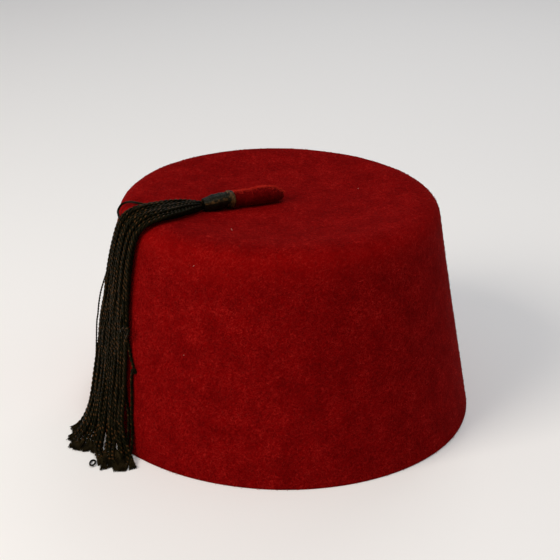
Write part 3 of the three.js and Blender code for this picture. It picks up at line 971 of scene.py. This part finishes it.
def cord_ways():
    """Each cord's first line: seven columns, its point, the direction out of what it lies on, and its
    size. It starts in the neck, the binding's narrow end, and goes over the cap and then the table."""
    lane, layer, reach, stray, beside = lane_rows()
    beside = beside * LOCK_WIDTH / 4

    def stacked(lift, deep, size):
        """The height above what a cord lies on: its lift, half a lock and its layer in the stack."""
        half = size * LOCK_THICKNESS / 2
        return lift * LOCK_THICKNESS + half + layer * np.maximum(deep * TASSEL_THICKNESS - 2 * half, 0)

    place, lift, deep, turn, spread, size = WAY_ON_CAP.T[:, None, :]
    degrees = turn + lane * spread
    out, up = section_out(place)
    normals = turned(out, up, degrees)
    on_the_cap = on_cap(place, degrees, stacked(lift, deep, size))
    on_the_cap = on_the_cap + (beside * size)[..., None] * crosswise(degrees)

    share, lift, deep, turn, spread, size_out = WAY_ON_TABLE.T[:, None, :]
    above = stacked(lift, deep, size_out)
    degrees = turn + (lane + (share == 1) * stray) * spread
    radius = RIM_RADIUS + share * (TIPS_BEYOND_RIM + reach * LOCK_WIDTH)
    out_there = turned(0 * radius, 1.0, degrees)
    on_the_table = turned(radius - pushed_in(above, degrees), above, degrees)
    on_the_table = on_the_table + (SPREAD_ON_TABLE * beside * size_out)[..., None] * crosswise(degrees)

    room_aside = NECK_DIAMETER / 2 - NECK_LOCK * LOCK_WIDTH / 2
    room_up = NECK_DIAMETER / 2 - NECK_LOCK * LOCK_THICKNESS / 2
    level = (2 * layer - 1) * np.sqrt(1 - NECK_CORNER * lane**2) * room_up
    across = -(lane * room_aside + beside * NECK_LOCK)
    in_neck = np.concatenate([0 * across, across, level], -1)
    neck = centre_line([binding_end - ROOT_IN_BINDING, binding_end + NECK_LENGTH]) + in_neck[:, None]

    points = np.concatenate([neck, on_the_cap, on_the_table], 1)
    outs = np.concatenate([np.broadcast_to(UP, neck.shape), normals, out_there], 1)
    sizes = np.concatenate([[NECK_LOCK, NECK_LOCK], WAY_ON_CAP[:, 5], WAY_ON_TABLE[:, 5]])
    sizes = np.broadcast_to(sizes[None, :, None], points.shape[:2] + (1,))
    return np.concatenate([points, outs, sizes], -1)


# %% Let the cords settle
SETTLE_ROUNDS = 160
PINNED = 4
PULL_HOME = 0.03
STIFFNESS = 0.25
PUSH_APART = 0.3
# Pairs nearer than this are looked for again after so many rounds, a block of points at a time.
NEAR = 3.2
LOOK_AGAIN = 12
BLOCK = 400

fine_places = np.linspace(0, 3, 360)
fine_section = np.stack(section(fine_places), -1)
fine_out = np.stack(section_out(fine_places), -1)


def push_off_cap(points, radius):
    """Moves points that are nearer to the felt than their radius straight out of it. The nearest of the
    fine half section's points gives the distance and the direction."""
    degrees = np.degrees(np.arctan2(-points[:, 1], -points[:, 0]))
    away = np.hypot(points[:, 0], points[:, 1]) + pushed_in(points[:, 2], degrees)
    flat = np.stack([away, points[:, 2]], -1)
    nearest = ((flat[:, None] - fine_section) ** 2).sum(-1).argmin(1)
    out = fine_out[nearest]
    gap = ((flat - fine_section[nearest]) * out).sum(-1) - radius
    shift = np.maximum(-gap, 0)
    return points + shift[:, None] * turned(out[:, 0], out[:, 1], degrees)


def neighbours(points, cord_of):
    """Pairs of points of different cords that are near each other."""
    first, second = [], []
    for start in range(0, len(points), BLOCK):
        block = points[start : start + BLOCK]
        apart = ((block[:, None] - points[None]) ** 2).sum(-1)
        a, b = np.nonzero(apart < NEAR**2)
        a = a + start
        keep = (a < b) & (cord_of[a] != cord_of[b])
        first.append(a[keep])
        second.append(b[keep])
    return np.concatenate(first), np.concatenate(second)


def settle(lines, radius):
    """Position based settling of lines (cords, points, 3), each point with its radius.

    In each round a point goes a little way home and towards the middle of its neighbours, then every
    segment is set back to its length, and pairs that touch are moved apart by what they overlap.
    """
    home = lines.copy()
    lines = lines.copy()
    length = step_lengths(home)[..., None]
    cord_of = np.repeat(np.arange(len(lines)), lines.shape[1])
    flat_radius = radius.reshape(-1)
    for turn in range(SETTLE_ROUNDS):
        lines += PULL_HOME * (home - lines)
        middle = (lines[:, :-2] + lines[:, 2:]) / 2
        lines[:, 1:-1] += STIFFNESS * (middle - lines[:, 1:-1])
        for start in (0, 1):
            span = lines[:, start + 1 :: 2][:, : (lines.shape[1] - start) // 2]
            base = lines[:, start::2][:, : span.shape[1]]
            way = span - base
            now = np.linalg.norm(way, axis=-1, keepdims=True)
            fix = way * (1 - length[:, start::2][:, : span.shape[1]] / now) / 2
            base += fix
            span -= fix
        points = lines.reshape(-1, 3)
        if turn % LOOK_AGAIN == 0:
            first, second = neighbours(points, cord_of)
        way = points[second] - points[first]
        apart = np.linalg.norm(way, axis=-1) + 1e-9
        overlap = np.maximum(flat_radius[first] + flat_radius[second] - apart, 0)
        move = (PUSH_APART * overlap / apart)[:, None] * way
        for column in range(3):
            points[:, column] += np.bincount(second, move[:, column], len(points))
            points[:, column] -= np.bincount(first, move[:, column], len(points))
        points = push_off_cap(points, flat_radius)
        points[:, 2] = np.maximum(points[:, 2], flat_radius)
        lines = points.reshape(lines.shape)
        lines[:, :PINNED] = home[:, :PINNED]
    left = np.maximum(flat_radius[first] + flat_radius[second] - apart, 0)
    print(f"settled: {len(first)} near pairs, mean overlap {left.mean():.3f} mm, most {left.max():.2f} mm")
    return lines


TUFT_LENGTH = 4.6
# Each cord wanders a little from its way by a smooth line of its own, which fades in along its first
# sixth. It settles with a share of its radius, since soft cords press into each other.
WANDER = 0.35
WANDER_STOPS = 9
PRESSED = 0.95

ways = evened(spline(cord_ways(), 400), CORD_POINTS, TUFT_LENGTH)
wander_rng = np.random.default_rng(51)
wander = spline(wander_rng.normal(0, WANDER, (len(ways), WANDER_STOPS, 3)), CORD_POINTS)
fade_in = eased(np.linspace(0, 6, CORD_POINTS))[None, :, None]
cord_sizes = ways[..., 6]
cord_lines = settle(ways[..., :3] + wander * fade_in, cord_sizes * CORD / 2 * PRESSED)
cord_outs = unit(ways[..., 3:6])

# %% [markdown]
# ## Two plies to a cord
# Each cord is two plies twisted to the left, one turn in 4.8 mm, which gives the bead every 2.4 mm that
# the eye follows down a tassel. A ply is a tube whose middle circles the cord's own line at a little
# under half the cord's radius, so the two just press into each other.

# %% Twist the cords
PLY_TURN = 4.8
PLY_SIDES = 7
PLY_STEP = 0.4
PLY_OFFSET = 0.46
PLY_SIZE = 0.54
THICKNESSES = (0.94, 1.06)
# How many of a line's last points give the direction of its tuft.
TAIL = 8


def plies(lines, outs, radius, start, turn=PLY_TURN):
    """Two tubes round each line: the offset turns with the length, from a start angle of its own."""
    ahead = unit(np.gradient(lines, axis=1))
    side = unit(np.cross(outs, ahead))
    over = np.cross(ahead, side)
    length = np.cumsum(np.pad(step_lengths(lines), ((0, 0), (1, 0))), 1)
    made = []
    for half in (0, np.pi):
        phase = (start[:, None] + half - TURN * length / turn)[..., None]
        away = np.cos(phase) * side + np.sin(phase) * over
        paths = lines + PLY_OFFSET * radius[..., None] * away
        paths[..., 2] = np.maximum(paths[..., 2], PLY_SIZE * radius)
        made.append(tubes(paths, PLY_SIZE * radius, away, PLY_SIDES, phase[..., 0] / TURN))
    return together(made)


def fine_cords():
    """The settled lines at the plies' fine steps, with the directions out and the sizes."""
    total = step_lengths(cord_lines).sum(1).mean()
    samples = int(total / PLY_STEP)
    joined = np.concatenate([cord_lines, cord_outs, cord_sizes[..., None]], -1)
    fine = evened(spline(joined, samples), samples)
    print(f"cords: {len(fine)}, mean length {total:.0f} mm, {samples} steps")
    return fine[..., :3], unit(fine[..., 3:6]), fine[..., 6]


def cords():
    """All cords in two pieces of half the cords each, the first in the solid's place. Their tails and
    their last radius come back, for the tufts."""
    lines, outs, sizes = fine_cords()
    rng = np.random.default_rng(61)
    start = rng.uniform(0, TURN, len(lines))
    thick = rng.uniform(*THICKNESSES, (len(lines), 1))
    radius = sizes * thick * CORD / 2
    half = len(lines) // 2
    back, front = (
        plies(lines[part], outs[part], radius[part], start[part])
        for part in (slice(half), slice(half, None))
    )
    put("tassel_cords_back", back, cord_finish, ["tassel"])
    put("tassel_cords_front", front, cord_finish)
    return lines[:, -TAIL:], radius[:, -1]


cord_tails, cord_radius = cords()

# %% [markdown]
# ## Loose strands
# A tassel that has been handled has strays. One ply makes a small loop at the edge of the top, a fine
# thread hangs clear on the far side, and two cords leave the fan on the near side, one with a knot. Each
# follows a short list of places on the cap: the place, the angle and how far above the felt.

# %% Strays
EDGE_LOOP = [
    (2.15, -3, 1.6), (2.02, -5.4, 1.8), (1.94, -6.6, 2.1), (1.84, -8.4, 2.1), (1.72, -11.4, 1.9),
    (1.53, -14, 1.8), (1.38, -14.4, 1.9), (1.24, -13, 1.9), (1.2, -10.4, 1.8), (1.15, -7, 1.5),
]
FINE_THREAD = [
    (0.9, -5, 2.5), (0.79, -7, 3.6), (0.72, -8, 4.5), (0.657, -8, 5.4), (0.595, -8, 5.55),
    (0.538, -8, 5.3), (0.502, -8, 5.3), (0.41, -8, 4.3), (0.3, -7, 3.4), (0.2, -6, 3),
]
KNOTTED_CORD = [
    (0.74, 8.2, 2.4), (0.65, 8.6, 3.6), (0.58, 10.4, 4.9), (0.605, 12.6, 5.2), (0.607, 14.2, 4.8),
    (0.575, 13.6, 4), (0.55, 12.2, 3), (0.52, 12.2, 1.8), (0.46, 13.5, 1), (0.41, 15.6, 1),
    (0.375, 14.9, 1), (0.264, 16.3, 1), (0.193, 16.9, 1), (0.11, 18.3, 1.2), (0.05, 19.2, 2.2),
]
PARTED_CORD = [
    (0.5, 11, 1.6), (0.4, 11.6, 1.5), (0.337, 12, 1.2), (0.265, 13.2, 1), (0.227, 14.4, 1),
    (0.194, 15.4, 1), (0.15, 16.2, 1.2), (0.1, 17, 1.8), (0.05, 18, 3),
]
# Each stray of two plies: its places, how many points it gets, its radius, the length of a turn, and its
# tip's places on the floor by distance from the axis and angle.
PLIED_STRAYS = {
    "fine thread": (FINE_THREAD, 260, 0.45, 2.8, ()),
    "knotted cord": (KNOTTED_CORD, 260, 0.8, PLY_TURN, ((99.5, 20.9), (103, 22.4))),
    "parted cord": (PARTED_CORD, 190, 0.85, PLY_TURN, ((99, 19.4), (103.5, 21))),
}
EDGE_LOOP_RADIUS = 0.55
KNOT_AT = (0.405, 15.9, 1.2)
KNOT_SIZE = 1.25
KNOT_RADIUS = 0.5
# The small loop at the tips lies on the table: its middle (away, up and angle) and its half axes.
END_LOOP_AT = (112.6, 0.75, 15.4)
END_LOOP_LONG = np.array([-1.15, -2.5, 0.3])
END_LOOP_WIDE = np.array([1.1, -0.5, 0.0])
END_LOOP_RADIUS = 0.4
STRAY_SIDES = 8


def stray_line(table, samples, tip=()):
    """A smooth line over the cap through a stray's places, and then over the floor to its tip."""
    place, degrees, above = np.array(table).T
    points = on_cap(place, degrees, above)
    outs = turned(*section_out(place), degrees)
    for stop in tip:
        points = np.concatenate([points, turned(stop[0], CORD / 2, stop[1])[None]])
        outs = np.concatenate([outs, UP[None]])
    fine = evened(spline(np.concatenate([points, outs], -1), samples)[None], samples)
    return fine[..., :3], unit(fine[..., 3:])


def knot(centre, size, samples=60):
    """A trefoil, the closed line of an overhand knot: two turns round the axis while it waves three
    times in and out."""
    angle = np.linspace(0, TURN, samples)
    away = size * (0.62 + 0.3 * np.cos(3 * angle))
    wave = 0.5 * size * np.sin(3 * angle)
    return centre + np.stack([away * np.cos(2 * angle), wave, away * np.sin(2 * angle)], -1)


def strays():
    """All strays in one piece. The tails of the two cords and their radius come back, for the tufts."""
    line, outs = stray_line(EDGE_LOOP, 90)
    lines = {"edge loop": line}
    parts = [tubes(line, EDGE_LOOP_RADIUS, outs, STRAY_SIDES)]
    for name, (table, samples, radius, turn, tip) in PLIED_STRAYS.items():
        line, outs = stray_line(table, samples, tip)
        lines[name] = line
        parts.append(plies(line, outs, np.full(line.shape[:2], radius), np.array([1.0]), turn))
    round_knot = knot(on_cap(*KNOT_AT), KNOT_SIZE)
    angle = np.linspace(0, TURN, 30)[:, None]
    end_loop = turned(*END_LOOP_AT) + (np.cos(angle) * END_LOOP_LONG + np.sin(angle) * END_LOOP_WIDE)
    parts.append(tubes(round_knot[None], KNOT_RADIUS, UP, STRAY_SIDES))
    parts.append(tubes(end_loop[None], END_LOOP_RADIUS, UP, STRAY_SIDES))
    put("tassel_strays", together(parts), cord_finish)
    for name, line in lines.items():
        print(f"{name}: {step_lengths(line).sum():.0f} mm")
    tails = [lines[name][:, -TAIL:] for name in ("knotted cord", "parted cord")]
    return np.concatenate(tails), np.full(2, PLIED_STRAYS["parted cord"][2])


stray_tails, stray_radius = strays()

# %% [markdown]
# ## Frayed ends
# The ends aren't bound. Past its last half turn each cord opens into a tuft of its rayon threads, which
# lies on the table and curls a little to one side. A tuft is some seventy thin tubes that start across
# the cord's end and fan out.

# %% Tufts
TUFT_THREADS = 70
TUFT_THREAD = 0.13
TUFT_STEPS = 6
TUFT_ROOT = 1.2
# Tufts differ in curl and length, and threads in length. A thread fans out by its place in the tuft and
# by chance, with one power of its length, and it sinks with another.
TUFT_CURL = 0.22
TUFT_LENGTHS = (0.8, 1.05)
THREAD_LENGTHS = (0.7, 1.0)
FAN = 0.17
FAN_BY_CHANCE = 0.06
FAN_POWER = 1.5
FALL_POWER = 1.3
# Threads are piled up to this height, more of them low than high.
TUFT_PILE = 1.3
PILE_POWER = 1.5
TUFT_WIDTH = 0.85
LEVELLED = (1, 1, 0.4)


def tufts(ends, ahead, radius):
    """Threads from every end: each starts across it and follows a fan of its own, all of one tuft curl
    aside with the square of the length, and they sink to the table."""
    rng = np.random.default_rng(71)
    curl = np.repeat(rng.normal(0, TUFT_CURL, len(ends)), TUFT_THREADS)[:, None, None]
    long = np.repeat(rng.uniform(*TUFT_LENGTHS, len(ends)), TUFT_THREADS)[:, None, None]
    each = (ends, ahead, radius[:, None])
    ends, ahead, radius = (np.repeat(part, TUFT_THREADS, axis=0) for part in each)
    ahead = unit(ahead * LEVELLED)
    side = unit(np.cross(UP, ahead))
    spot = rng.uniform(-1, 1, (len(ends), 2))
    root = ends - TUFT_ROOT * ahead + radius * TUFT_WIDTH * (spot[:, :1] * side + spot[:, 1:] * UP)
    part = np.linspace(0, 1, TUFT_STEPS)[None, :, None]
    reach = (TUFT_LENGTH + TUFT_ROOT) * long * rng.uniform(*THREAD_LENGTHS, (len(ends), 1, 1))
    fan = FAN * spot[:, :1, None] + rng.normal(0, FAN_BY_CHANCE, (len(ends), 1, 1))
    aside = fan * part**FAN_POWER + curl * part**2
    lines = root[:, None] + reach * (part * ahead[:, None] + aside * side[:, None])
    floor = TUFT_THREAD + TUFT_PILE * rng.uniform(0, 1, (len(ends), 1)) ** PILE_POWER
    fall = part[..., 0] ** FALL_POWER
    lines[..., 2] = np.maximum(lines[..., 2] * (1 - fall) + floor * fall, TUFT_THREAD)
    put("tassel_ends", tubes(lines, TUFT_THREAD, UP, 4), tuft_finish)


tails = np.concatenate([cord_tails, stray_tails])
tufts(tails[:, -1], tails[:, -1] - tails[:, 0], np.concatenate([cord_radius, stray_radius]))

# %% [markdown]
# ## Studio
# A plain pale table and soft light. The main light stands on the left, where the side is brightest. One
# behind the cap lights the stem's back and leaves its front in shadow, one above it lights the top and its
# edge, a weak one on the right opens the shaded side, and an even sky fills the rest.

# %% Floor, lights and sky
# Each light: its angle round the cap from the camera's, its height in degrees, its distance and its size
# in metres, its power in watts and its colour.
LIGHTS = {
    "main_light": (-55, 38, 1.3, 0.6, 10.5, "#fff6ea"),
    "back_light": (165, 42, 1.4, 0.7, 2.8, "#ffffff"),
    "overhead_light": (15, 80, 1.4, 0.5, 5.0, "#ffffff"),
    "fill_light": (105, 20, 1.5, 0.8, 0.6, "#ffffff"),
}
SKY = "#f6f8ff"
SKY_STRENGTH = 0.32

bpy.ops.mesh.primitive_plane_add(size=8.0, location=(0, 0, 0))
floor = bpy.context.object
floor.name = "table"
table_finish, table_tree = finish_of("pale_table")
surface(table_tree, {"Base Color": linear("#f4f3f1"), "Roughness": 0.7, "Specular IOR Level": 0.2}, {})
floor.data.materials.append(table_finish)

for name, (azimuth, height, distance, size, power, colour) in LIGHTS.items():
    light = bpy.data.lights.new(name, "AREA")
    light.shape = "SQUARE"
    light.size = size
    light.energy = power
    light.color = linear(colour)[:3]
    lamp = bpy.data.objects.new(name, light)
    bpy.context.scene.collection.objects.link(lamp)
    towards = turn_about("Z", CAMERA_TURN + azimuth) @ turn_about("X", 90 - height)
    lamp.matrix_world = target @ towards @ Matrix.Translation((0, 0, distance))

world = bpy.data.worlds.new("even_sky")
bpy.context.scene.world = world
world.use_nodes = True
sky = world.node_tree.nodes["Background"].inputs
sky["Color"].default_value = linear(SKY)
sky["Strength"].default_value = SKY_STRENGTH
bpy.context.scene.view_settings.view_transform = "Standard"
